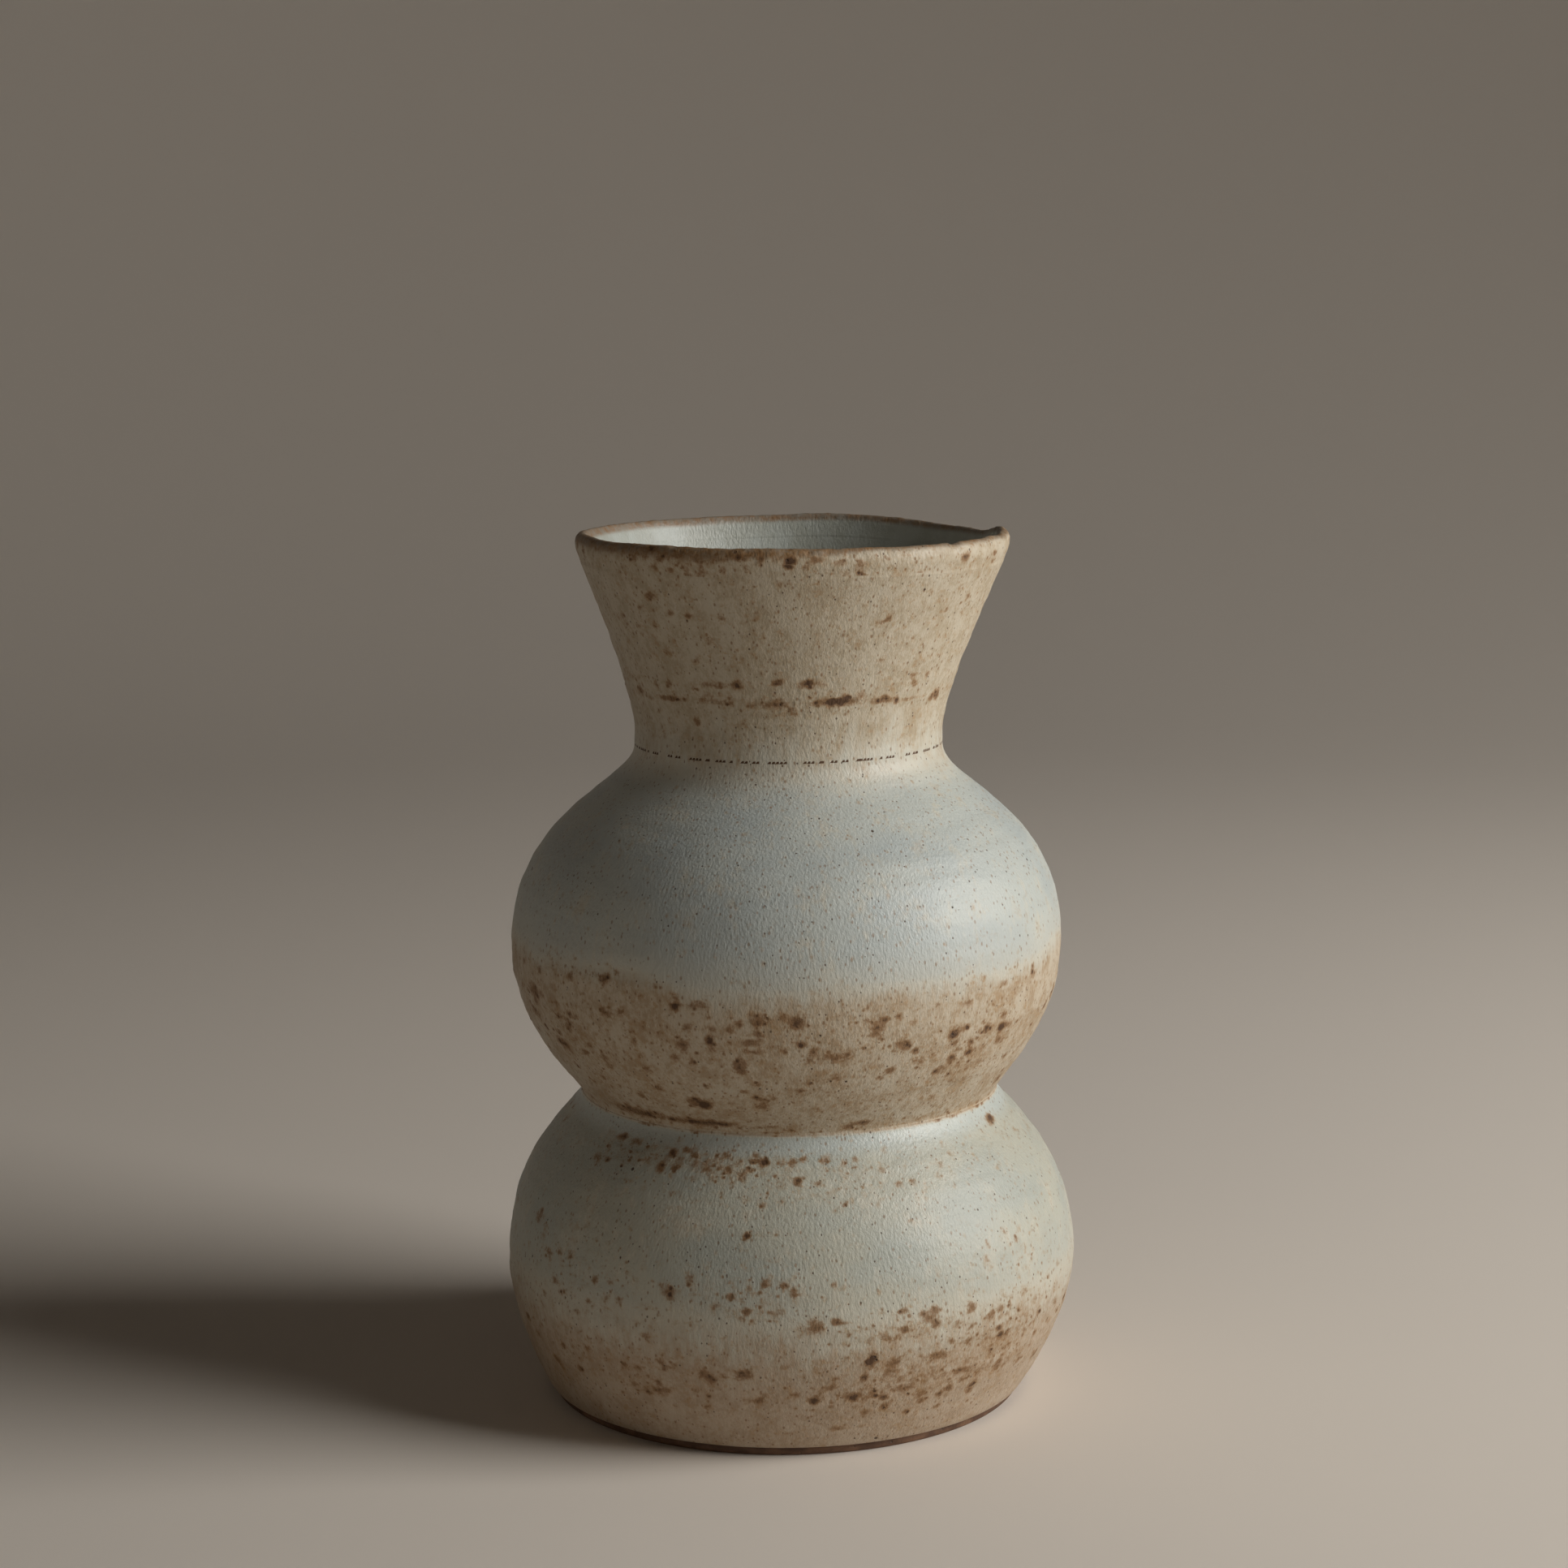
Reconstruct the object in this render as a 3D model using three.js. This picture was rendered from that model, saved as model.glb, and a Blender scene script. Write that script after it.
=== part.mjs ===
// Stacked stoneware vase: two thrown bulbs, a flared neck and a rolled lip, luted together with slip.
// Millimetres, +Z up. The origin is on the table, under the middle of the lower bulb.
import * as THREE from 'three';

// Heights: each section above the one below it, and each widest ring above its section's start
const footBandHeight = 2.2;
const lowerHeight = 78.5;
const lowerBellyRise = 34.4;
const upperHeight = 88.5;
const upperBellyRise = 38.1;
const neckHeight = 46;
const lipHeight = 7;

// Outside radii, from the foot up
const footRadius = 61.3;
const lowerBellyRadius = 72.9;
const waistRadius = 53.1;
const upperBellyRadius = 70;
const throatRadius = 38.9;
const lipSeatRadius = 53.2;

// Clay thickness
const floorThickness = 7;
const recessDepth = 2.5;
const footUndercut = 1;
const footRingWidth = 10;
const footChamfer = 0.6;
const lowerWall = 5.5;
const upperWall = 5;
const neckWall = 4.5;
const neckWallAtLip = 3.6;
const floorCoilLeg = 5;

// The lip's section: how far it rolls out past its seat, and where its crown is
const lipRoll = 1.35;
const crownInset = 0.8;
const crownRounding = 1.7;

// Joints: bevelled faces that rise towards the inside, with slip between them
const slipThickness = 0.6;
const clearance = 0.3;
const baseBevelRise = 3.6;
const waistBevelRise = 1.5;
const neckBevelRise = 1.5;
const lipBevelRise = 1.4;

// Curve shape: how long a curve stays upright at its widest or narrowest ring, as a share of its height
const footFullness = 0.37;
const lowerShoulderFullness = 0.67;
const upperBowlFullness = 0.55;
const upperShoulderFullness = 0.675;
const throatSoftness = 0.22;
const flareStart = 0.09;

// Pulls of the curves at their other ends, outwards and up
const footPull = new THREE.Vector2(1.7, 2);
const creasePullBelow = new THREE.Vector2(-0.8, 6.5);
const creasePullAbove = new THREE.Vector2(1, 3.2);
const lipSlope = 0.42;
const flareStraightness = 0.84;

// Sideways lean of the hand-thrown stack at each height, towards +X
const footLean = -1.7;
const waistLean = -0.3;
const upperBellyLean = -0.9;
const throatLean = 0.1;
const lipLean = 1.5;

// Facets
const turnSegments = 60;
const bowlSteps = 6;
const shoulderSteps = 8;
const neckSteps = 6;
const lipSteps = 6;

const jointHalf = slipThickness / 2 + clearance;
const waistZ = lowerHeight;
const throatZ = waistZ + upperHeight;
const lipSeatZ = throatZ + neckHeight;
const topZ = lipSeatZ + lipHeight;

const foot = new THREE.Vector2(footRadius, footBandHeight);
const lowerBelly = new THREE.Vector2(lowerBellyRadius, lowerBellyRise);
const waist = new THREE.Vector2(waistRadius, waistZ);
const upperBelly = new THREE.Vector2(upperBellyRadius, waistZ + upperBellyRise);
const throat = new THREE.Vector2(throatRadius, throatZ);
const lipSeat = new THREE.Vector2(lipSeatRadius, lipSeatZ);

const leanStations = [
  [0, footLean],
  [lowerBelly.y, 0],
  [waist.y, waistLean],
  [upperBelly.y, upperBellyLean],
  [throat.y, throatLean],
  [topZ, lipLean],
];

// Sideways shift of the stack at height z
function leanAt(z) {
  let shift = footLean;
  for (let i = 1; i < leanStations.length; i += 1) {
    const [low, from] = leanStations[i - 1];
    const [high, to] = leanStations[i];
    if (z >= low) {
      shift = THREE.MathUtils.lerp(from, to, THREE.MathUtils.smoothstep(z, low, high));
    }
  }
  return shift;
}

// Points (radius, z) of a curve that leaves start along startPull and reaches end along endPull
function arc(start, startPull, end, endPull, steps) {
  const first = start.clone().add(startPull);
  const last = end.clone().sub(endPull);
  return new THREE.CubicBezierCurve(start, first, last, end).getSpacedPoints(steps);
}

function upright(share, from, to) {
  return new THREE.Vector2(0, share * (to.y - from.y));
}

// The inside of a wall whose outside is points; its thickness goes evenly from one value to another
function inset(points, wallAtStart, wallAtEnd) {
  return points.map((point, i) => {
    const before = points[Math.max(i - 1, 0)];
    const after = points[Math.min(i + 1, points.length - 1)];
    const along = after.clone().sub(before).normalize();
    const wall = THREE.MathUtils.lerp(wallAtStart, wallAtEnd, i / (points.length - 1));
    return new THREE.Vector2(point.x - along.y * wall, point.y + along.x * wall);
  });
}

// The point of a rising line of points at height z, on its end stretch's own line past an end
function pointAt(points, z) {
  let i = 1;
  while (i < points.length - 1 && points[i].y < z) {
    i += 1;
  }
  const [from, to] = [points[i - 1], points[i]];
  const share = (z - from.y) / (to.y - from.y);
  return new THREE.Vector2(THREE.MathUtils.lerp(from.x, to.x, share), z);
}

// A rising line of points cut off at two heights, without points closer than the clearance to a cut
function between(points, low, high) {
  const inside = points.filter((point) => point.y > low + clearance && point.y < high - clearance);
  return [pointAt(points, low), ...inside, pointAt(points, high)];
}

// A thrown section from its outside and inside lines, with a bevelled face towards each joint
function section(outside, inside, lowJoint, highJoint) {
  const low = lowJoint.z + jointHalf;
  const high = highJoint.z - jointHalf;
  const outer = between(outside, low, high);
  const inner = between(inside, low + lowJoint.rise, high + highJoint.rise);
  return {
    profile: [...outer, ...inner.toReversed()],
    lowFace: [outer[0], inner[0]],
    highFace: [outer.at(-1), inner.at(-1)],
    inner,
  };
}

// The ring of slip between the face below a joint and the face above it
function slipRing([outerBelow, innerBelow], [outerAbove, innerAbove]) {
  const up = new THREE.Vector2(0, clearance);
  return [
    outerBelow.clone().add(up),
    outerAbove.clone().sub(up),
    innerAbove.clone().sub(up),
    innerBelow.clone().add(up),
  ];
}

const baseJoint = { z: footBandHeight, rise: baseBevelRise };
const waistJoint = { z: waistZ, rise: waistBevelRise };
const neckJoint = { z: throatZ, rise: neckBevelRise };
const lipJoint = { z: lipSeatZ, rise: lipBevelRise };

// Lower bulb
const lowerOutside = [
  ...arc(foot, footPull, lowerBelly, upright(footFullness, foot, lowerBelly), bowlSteps),
  ...arc(
    lowerBelly,
    upright(lowerShoulderFullness, lowerBelly, waist),
    waist,
    creasePullBelow,
    shoulderSteps,
  ).slice(1),
];
const lowerInside = inset(lowerOutside, lowerWall, lowerWall);
const lower = section(lowerOutside, lowerInside, baseJoint, waistJoint);

// Upper bulb
const upperOutside = [
  ...arc(waist, creasePullAbove, upperBelly, upright(upperBowlFullness, waist, upperBelly), bowlSteps),
  ...arc(
    upperBelly,
    upright(upperShoulderFullness, upperBelly, throat),
    throat,
    upright(throatSoftness, upperBelly, throat),
    shoulderSteps,
  ).slice(1),
];
const upperInside = inset(upperOutside, upperWall, upperWall);
const upper = section(upperOutside, upperInside, waistJoint, neckJoint);

// Flared neck
const flarePull = new THREE.Vector2(lipSlope, 1).multiplyScalar(flareStraightness * neckHeight);
const neckOutside = arc(throat, upright(flareStart, throat, lipSeat), lipSeat, flarePull, neckSteps);
const neckInside = inset(neckOutside, neckWall, neckWallAtLip);
const neck = section(neckOutside, neckInside, neckJoint, lipJoint);

// Rolled lip: it sits on the neck's top face and rounds over to its crown
const [neckTopOuter, neckTopInner] = neck.highFace;
const lipBottomOuter = neckTopOuter.clone().add(new THREE.Vector2(0, 2 * jointHalf));
const lipBottomInner = neckTopInner.clone().add(new THREE.Vector2(0, 2 * jointHalf));
const crown = new THREE.Vector2(lipBottomOuter.x - crownInset, topZ);
const overCrown = new THREE.Vector2(-crownRounding, 0);
const rollOut = new THREE.Vector2(2 * lipRoll, (topZ - lipBottomOuter.y) / 2);
const rollIn = new THREE.Vector2(lipSlope, 1).multiplyScalar((lipBottomInner.y - topZ) / 2);
const lipProfile = [
  ...arc(lipBottomOuter, rollOut, crown, overCrown, lipSteps),
  ...arc(crown, overCrown, lipBottomInner, rollIn, lipSteps).slice(1),
];

// Floor slab with its foot ring, stepped up inside the lower bulb's bevelled face
const [lowerBottomOuter, lowerBottomInner] = lower.lowFace;
const slabRimZ = lowerBottomOuter.y - 2 * jointHalf;
const slabRadius = lowerBottomInner.x - clearance;
const bareFootRadius = footRadius - footUndercut;
const ringRadius = bareFootRadius - footRingWidth;
const slabRim = new THREE.Vector2(bareFootRadius, slabRimZ);
const slabBevelTop = new THREE.Vector2(slabRadius, lowerBottomInner.y - 2 * jointHalf);
const baseProfile = [
  new THREE.Vector2(0, recessDepth),
  new THREE.Vector2(ringRadius - recessDepth, recessDepth),
  new THREE.Vector2(ringRadius, 0),
  new THREE.Vector2(bareFootRadius - footChamfer, 0),
  new THREE.Vector2(bareFootRadius, footChamfer),
  slabRim,
  slabBevelTop,
  new THREE.Vector2(slabRadius, floorThickness),
  new THREE.Vector2(0, floorThickness),
];

// Coil pressed into the inside corner, with a hollow face
const coilZ = floorThickness + clearance;
const coilWall = between(lower.inner, coilZ, coilZ + floorCoilLeg);
const coilSide = coilWall.map((point) => new THREE.Vector2(point.x - 2 * clearance, point.y));
const coilToe = new THREE.Vector2(coilSide[0].x - floorCoilLeg, coilZ);
const coilHollow = new THREE.Vector2(coilSide[0].x - floorCoilLeg / 4, coilZ + floorCoilLeg / 4);
const coilProfile = [...coilSide, coilHollow, coilToe];

// The slip rings; the base joint's inner edge is where the wall's inside starts
const baseSlipProfile = slipRing(
  [slabRim, new THREE.Vector2(lowerBottomInner.x, slabBevelTop.y)],
  lower.lowFace,
);
const waistSlipProfile = slipRing(lower.highFace, upper.lowFace);
const neckSlipProfile = slipRing(upper.highFace, neck.lowFace);
const lipSlipProfile = slipRing(neck.highFace, [lipBottomOuter, lipBottomInner]);

const finishes = {
  bareClay: { color: 0x4a3025, roughness: 0.6, metalness: 0 },
  slip: { color: 0x5a4030, roughness: 0.8, metalness: 0 },
  lowerGlaze: { color: 0xa6a69c, roughness: 0.55, metalness: 0 },
  upperGlaze: { color: 0xa9aeaa, roughness: 0.55, metalness: 0 },
  neckGlaze: { color: 0x94836a, roughness: 0.6, metalness: 0 },
  lipGlaze: { color: 0x7a5f45, roughness: 0.55, metalness: 0 },
};

// One turned piece: its profile goes round counterclockwise, or from the axis back to the axis
function turned(name, profile, finish) {
  const closed = profile[0].x > 0 ? [...profile, profile[0]] : profile;
  const geometry = new THREE.LatheGeometry(closed, turnSegments);
  geometry.rotateX(Math.PI / 2);
  const position = geometry.getAttribute('position');
  for (let i = 0; i < position.count; i += 1) {
    position.setX(i, position.getX(i) + leanAt(position.getZ(i)));
  }
  const mesh = new THREE.Mesh(geometry, new THREE.MeshStandardMaterial(finishes[finish]));
  mesh.name = name;
  return mesh;
}

const vase = new THREE.Group();
vase.add(
  turned('base_disc', baseProfile, 'bareClay'),
  turned('base_slip', baseSlipProfile, 'slip'),
  turned('floor_coil', coilProfile, 'lowerGlaze'),
  turned('lower_bulb', lower.profile, 'lowerGlaze'),
  turned('waist_slip', waistSlipProfile, 'slip'),
  turned('upper_bulb', upper.profile, 'upperGlaze'),
  turned('neck_slip', neckSlipProfile, 'slip'),
  turned('flared_neck', neck.profile, 'neckGlaze'),
  turned('lip_slip', lipSlipProfile, 'slip'),
  turned('lip_coil', lipProfile, 'lipGlaze'),
);

export default vase;
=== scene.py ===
import math

import bpy
import numpy as np
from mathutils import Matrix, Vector


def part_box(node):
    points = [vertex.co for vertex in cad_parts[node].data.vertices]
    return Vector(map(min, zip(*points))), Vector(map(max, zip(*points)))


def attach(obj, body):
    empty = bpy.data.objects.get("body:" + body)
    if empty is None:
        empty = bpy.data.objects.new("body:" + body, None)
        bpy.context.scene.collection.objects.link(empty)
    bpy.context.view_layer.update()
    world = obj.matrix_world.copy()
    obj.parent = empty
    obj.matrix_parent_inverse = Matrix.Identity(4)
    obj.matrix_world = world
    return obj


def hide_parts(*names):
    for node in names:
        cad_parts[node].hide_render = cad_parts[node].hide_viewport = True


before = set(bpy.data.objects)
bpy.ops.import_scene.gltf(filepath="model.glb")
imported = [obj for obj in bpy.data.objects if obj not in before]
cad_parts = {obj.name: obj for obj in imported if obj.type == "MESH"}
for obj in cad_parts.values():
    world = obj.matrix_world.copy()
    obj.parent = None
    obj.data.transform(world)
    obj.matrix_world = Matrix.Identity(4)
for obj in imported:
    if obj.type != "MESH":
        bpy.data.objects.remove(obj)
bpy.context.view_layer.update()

# Stacked stoneware vase, turned on the frame's own sizes. Metres, +Z up, the front faces -Y.
# Azimuths are in degrees from the front, towards +X.
mm = 0.001
fullTurn = 2 * math.pi
turnSteps = 512


def deselectAll():
    if bpy.context.object and bpy.context.object.mode != "OBJECT":
        bpy.ops.object.mode_set(mode="OBJECT")
    bpy.ops.object.select_all(action="DESELECT")


def makeActive(obj):
    deselectAll()
    obj.select_set(True)
    bpy.context.view_layer.objects.active = obj


def boxOf(node):
    low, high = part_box(node)
    return {"radius": (high.x - low.x) / 2, "low": low.z, "high": high.z}


def around(azimuth, radius, height):
    turn = math.radians(azimuth)
    return Vector((radius * math.sin(turn), -radius * math.cos(turn), height))


# Joint heights and key radii, read off the frame
slipGap = 0.3 * mm
footZ = boxOf("base_slip")["low"] + slipGap
waistZ = boxOf("waist_slip")["low"] + slipGap
throatZ = boxOf("neck_slip")["low"] + slipGap
lipZ = boxOf("lip_slip")["low"] + slipGap
topZ = boxOf("lip_coil")["high"]
rimRadius = boxOf("base_disc")["radius"]
lowerRadius = boxOf("lower_bulb")["radius"]
upperRadius = boxOf("upper_bulb")["radius"]
waistRadius = boxOf("waist_slip")["radius"] - 0.4 * mm
throatRadius = boxOf("neck_slip")["radius"] - 0.25 * mm
lipSeatRadius = boxOf("lip_slip")["radius"] + 0.2 * mm
lipRadius = boxOf("lip_coil")["radius"]
floorZ = boxOf("base_disc")["high"]


# Turning on the wheel: a profile of Bezier arcs in the XZ plane, spun about Z
def newProfile(name):
    deselectAll()
    bpy.ops.curve.primitive_bezier_curve_add(location=(0, 0, 0))
    profile = bpy.context.object
    profile.name = name
    profile.data.name = name
    profile.data.dimensions = "3D"
    profile.data.splines.clear()
    return profile


# One arc from start to end, as (radius, height); the pulls are its handles, along the way it runs
def addArc(profile, start, startPull, end, endPull, rows):
    spline = profile.data.splines.new("BEZIER")
    spline.bezier_points.add(1)
    spline.resolution_u = rows
    first, last = spline.bezier_points
    for point, place, pull in ((first, start, startPull), (last, end, endPull)):
        point.handle_left_type = "FREE"
        point.handle_right_type = "FREE"
        point.co = (place[0], 0, place[1])
        point.handle_left = (place[0] - pull[0], 0, place[1] - pull[1])
        point.handle_right = (place[0] + pull[0], 0, place[1] + pull[1])


def addLine(profile, start, end, rows=1):
    pull = ((end[0] - start[0]) / 3, (end[1] - start[1]) / 3)
    addArc(profile, start, pull, end, pull, rows)


def addLines(profile, *points):
    for start, end in zip(points, points[1:]):
        addLine(profile, start, end)


def turnPiece(profile, steps=turnSteps, creaseAngle=40):
    makeActive(profile)
    bpy.ops.object.convert(target="MESH")
    bpy.ops.object.mode_set(mode="EDIT")
    bpy.ops.mesh.select_all(action="SELECT")
    bpy.ops.mesh.remove_doubles(threshold=0.002 * mm)
    bpy.ops.object.mode_set(mode="OBJECT")
    bpy.ops.object.modifier_add(type="SCREW")
    wheel = bpy.context.object.modifiers[-1]
    wheel.axis = "Z"
    wheel.angle = fullTurn
    wheel.steps = steps
    wheel.render_steps = steps
    bpy.ops.object.modifier_apply(modifier=wheel.name)
    bpy.ops.object.mode_set(mode="EDIT")
    bpy.ops.mesh.select_all(action="SELECT")
    bpy.ops.mesh.remove_doubles(threshold=0.002 * mm)
    bpy.ops.mesh.dissolve_degenerate(threshold=0.001 * mm)
    bpy.ops.mesh.select_all(action="SELECT")
    bpy.ops.mesh.normals_make_consistent(inside=False)
    bpy.ops.object.mode_set(mode="OBJECT")
    bpy.ops.object.shade_smooth_by_angle(angle=math.radians(creaseAngle))
    return bpy.context.object


def finishPiece(piece, node, slotName, *materials):
    for material in materials:
        piece.data.materials.append(material)
    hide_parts(node)
    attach(piece, "root")
    return piece


hold = 0.1 * mm  # a short straight row beside a joint keeps the shading level across it
jointHalf = 0.3 * mm

baseDisc = {
    "recess": 2.5 * mm,
    "ringWidth": 10 * mm,
    "edge": 0.7 * mm,
    "bevelIn": 3.2 * mm,
    "bevelUp": 3.3 * mm,
}


def makeBaseDisc():
    profile = newProfile("baseDisc")
    size = baseDisc
    inner = rimRadius - size["ringWidth"]
    rimTop = footZ - jointHalf
    bevelTop = (rimRadius - size["bevelIn"], rimTop + size["bevelUp"])
    edge = size["edge"]
    addLine(profile, (0, size["recess"]), (inner - 2 * size["recess"], size["recess"]), 12)
    addArc(
        profile,
        (inner - 2 * size["recess"], size["recess"]),
        (size["recess"], 0),
        (inner, 0),
        (size["recess"], 0),
        10,
    )
    addLine(profile, (inner, 0), (rimRadius - edge, 0), 8)
    addArc(profile, (rimRadius - edge, 0), (edge * 0.55, 0), (rimRadius, edge), (0, edge * 0.55), 6)
    addLine(profile, (rimRadius, edge), (rimRadius, rimTop), 3)
    addLine(profile, (rimRadius, rimTop), bevelTop, 2)
    addLines(profile, bevelTop, (bevelTop[0], floorZ - edge), (bevelTop[0] - edge, floorZ))
    addLine(profile, (bevelTop[0] - edge, floorZ), (0, floorZ), 24)
    return turnPiece(profile)


lowerBulb = {
    "footRadius": 61.3 * mm,
    "bellyHeight": 34.4 * mm,
    "footPull": (1.7 * mm, 2.0 * mm),
    "bellyPullDown": 11.9 * mm,
    "bellyPullUp": 29.5 * mm,
    "creasePull": (-0.8 * mm, 6.5 * mm),
    "wall": 5.5 * mm,
    "innerFoot": (57.4 * mm, 6.4 * mm),
    "innerFootPull": (3.6 * mm, 5.2 * mm),
    "innerWaist": (46.3 * mm, 79.4 * mm),
    "innerWaistPull": (-3.0 * mm, 5.0 * mm),
}


def makeLowerBulb():
    profile = newProfile("lowerBulb")
    size = lowerBulb
    low = footZ + jointHalf
    foot = (size["footRadius"] + 0.45 * mm, low)
    belly = (lowerRadius, size["bellyHeight"])
    crease = (waistRadius + 0.15 * mm, waistZ - jointHalf)
    innerBelly = (lowerRadius - size["wall"], size["bellyHeight"])
    addArc(profile, foot, size["footPull"], belly, (0, size["bellyPullDown"]), 50)
    addArc(profile, belly, (0, size["bellyPullUp"]), crease, size["creasePull"], 66)
    addLine(profile, crease, size["innerWaist"], 4)
    down = (-size["innerWaistPull"][0], -size["innerWaistPull"][1])
    addArc(profile, size["innerWaist"], down, innerBelly, (0, -26 * mm), 28)
    inward = (-size["innerFootPull"][0], -size["innerFootPull"][1])
    addArc(profile, innerBelly, (0, -12 * mm), size["innerFoot"], inward, 20)
    addLine(profile, size["innerFoot"], foot, 3)
    return turnPiece(profile)


upperBulb = {
    "bellyHeight": 116.6 * mm,
    "creasePull": (1.0 * mm, 3.2 * mm),
    "bellyPullDown": 21 * mm,
    "bellyPullUp": 34 * mm,
    "throatPull": 11 * mm,
    "wall": 5 * mm,
    "innerWaist": (48.5 * mm, 80.4 * mm),
    "innerThroat": (32.9 * mm, 168.1 * mm),
}


def makeUpperBulb():
    profile = newProfile("upperBulb")
    size = upperBulb
    crease = (waistRadius + 0.15 * mm, waistZ + jointHalf)
    belly = (upperRadius, size["bellyHeight"])
    throatLow = (throatRadius, throatZ - jointHalf - hold)
    throat = (throatRadius, throatZ - jointHalf)
    innerBelly = (upperRadius - size["wall"], size["bellyHeight"])
    addArc(profile, crease, size["creasePull"], belly, (0, size["bellyPullDown"]), 56)
    addArc(profile, belly, (0, size["bellyPullUp"]), throatLow, (0, size["throatPull"]), 76)
    addLines(profile, throatLow, throat, size["innerThroat"])
    addArc(profile, size["innerThroat"], (2 * mm, -8 * mm), innerBelly, (0, -30 * mm), 34)
    addArc(profile, innerBelly, (0, -20 * mm), size["innerWaist"], (-2.4 * mm, -5 * mm), 24)
    addLine(profile, size["innerWaist"], crease, 3)
    return turnPiece(profile)


flaredNeck = {
    "slope": 0.42,
    "startPull": 4.1 * mm,
    "flarePull": 38.6 * mm,
    "innerThroat": (34.6 * mm, 168.7 * mm),
    "innerLip": (49.7 * mm, 214.1 * mm),
}


def makeFlaredNeck():
    profile = newProfile("flaredNeck")
    size = flaredNeck
    throat = (throatRadius, throatZ + jointHalf)
    throatHigh = (throatRadius, throatZ + jointHalf + hold)
    seat = (lipSeatRadius - jointHalf * size["slope"], lipZ - jointHalf)
    flare = (size["flarePull"] * size["slope"], size["flarePull"])
    addLine(profile, throat, throatHigh)
    addArc(profile, throatHigh, (0, size["startPull"]), seat, flare, 70)
    addLine(profile, seat, size["innerLip"], 2)
    innerFlare = (-18 * mm * size["slope"], -18 * mm)
    addArc(profile, size["innerLip"], innerFlare, size["innerThroat"], (0, -9 * mm), 40)
    addLine(profile, size["innerThroat"], throat, 3)
    return turnPiece(profile)


lipCoil = {
    "crownIn": 1.3 * mm,
    "innerSeat": (49.8 * mm, 214.7 * mm),
    "crownPull": 1.5 * mm,
}


def makeLipCoil():
    profile = newProfile("lipCoil")
    size = lipCoil
    seat = (lipSeatRadius + 0.05 * mm, lipZ + jointHalf)
    widest = (lipRadius, lipZ + 4.2 * mm)
    crown = (lipRadius - size["crownIn"] - 0.6 * mm, topZ)
    inner = size["innerSeat"]
    addArc(profile, seat, (0.25 * mm, 1.2 * mm), widest, (0, 1.5 * mm), 12)
    addArc(profile, widest, (0, 1.9 * mm), crown, (-1.0 * mm, 0), 12)
    addArc(profile, crown, (-1.3 * mm, 0), inner, (-0.8 * mm, -2.2 * mm), 14)
    addLine(profile, inner, seat, 2)
    return turnPiece(profile)


# A slip ring: its outer face lies flush with the wall, and its bevelled faces follow the joint
def makeSlipRing(name, outerLow, outerHigh, innerHigh, innerLow):
    profile = newProfile(name)
    addLines(profile, outerLow, outerHigh, innerHigh, innerLow, outerLow)
    return turnPiece(profile)


floorCoil = {
    "toe": (52.3 * mm, 7.15 * mm),
    "heel": (57.4 * mm, 7.2 * mm),
    "top": (60.2 * mm, 12.4 * mm),
}


def makeFloorCoil():
    profile = newProfile("floorCoil")
    size = floorCoil
    addLines(profile, size["toe"], size["heel"], size["top"])
    addArc(profile, size["top"], (-1.2 * mm, -2.6 * mm), size["toe"], (-2.6 * mm, -0.3 * mm), 12)
    return turnPiece(profile, steps=256)


pieces = {
    "base_disc": makeBaseDisc(),
    "lower_bulb": makeLowerBulb(),
    "upper_bulb": makeUpperBulb(),
    "flared_neck": makeFlaredNeck(),
    "lip_coil": makeLipCoil(),
    "floor_coil": makeFloorCoil(),
    "base_slip": makeSlipRing(
        "baseSlip",
        (rimRadius + 0.2 * mm, footZ - jointHalf),
        (lowerBulb["footRadius"] + 0.2 * mm, footZ + jointHalf),
        lowerBulb["innerFoot"],
        (rimRadius - baseDisc["bevelIn"], footZ - jointHalf + baseDisc["bevelUp"]),
    ),
    "waist_slip": makeSlipRing(
        "waistSlip",
        (waistRadius + 0.05 * mm, waistZ - jointHalf),
        (waistRadius + 0.05 * mm, waistZ + jointHalf),
        upperBulb["innerWaist"],
        lowerBulb["innerWaist"],
    ),
    "neck_slip": makeSlipRing(
        "neckSlip",
        (throatRadius, throatZ - jointHalf),
        (throatRadius, throatZ + jointHalf),
        flaredNeck["innerThroat"],
        upperBulb["innerThroat"],
    ),
    "lip_slip": makeSlipRing(
        "lipSlip",
        (lipSeatRadius - 0.12 * mm, lipZ - jointHalf),
        (lipSeatRadius, lipZ + jointHalf),
        lipCoil["innerSeat"],
        flaredNeck["innerLip"],
    ),
}
print("turned", {name: len(piece.data.polygons) for name, piece in pieces.items()})


clay = {
    "lean": ((0, -1.7), (34.4, 0), (78.5, -0.3), (116.6, -0.9), (167, 0.1), (220, 1.5)),
    "leanRows": 14,
    "lumpSize": 42 * mm,
    "lumpDepth": 0.9 * mm,
    "ringSize": 60 * mm,
    "ringSquash": 0.07,
    "ringDepth": 0.5 * mm,
    "jointRest": (2.2 * mm, 6 * mm),
}


def leanAt(height):
    heights, shifts = zip(*clay["lean"])
    for low, high, start, end in zip(heights, heights[1:], shifts, shifts[1:]):
        if height <= high:
            share = (height - low) / (high - low)
            return start + (end - start) * share * share * (3 - 2 * share)
    return shifts[-1]


def smoothStep(values, low, high):
    share = np.clip((values - low) / (high - low), 0, 1)
    return share * share * (3 - 2 * share)


def pointsOf(piece):
    flat = np.zeros(len(piece.data.vertices) * 3)
    piece.data.vertices.foreach_get("co", flat)
    return flat.reshape(-1, 3)


def normalsOf(piece):
    flat = np.zeros(len(piece.data.vertices) * 3)
    piece.data.vertices.foreach_get("normal", flat)
    return flat.reshape(-1, 3)


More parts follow.
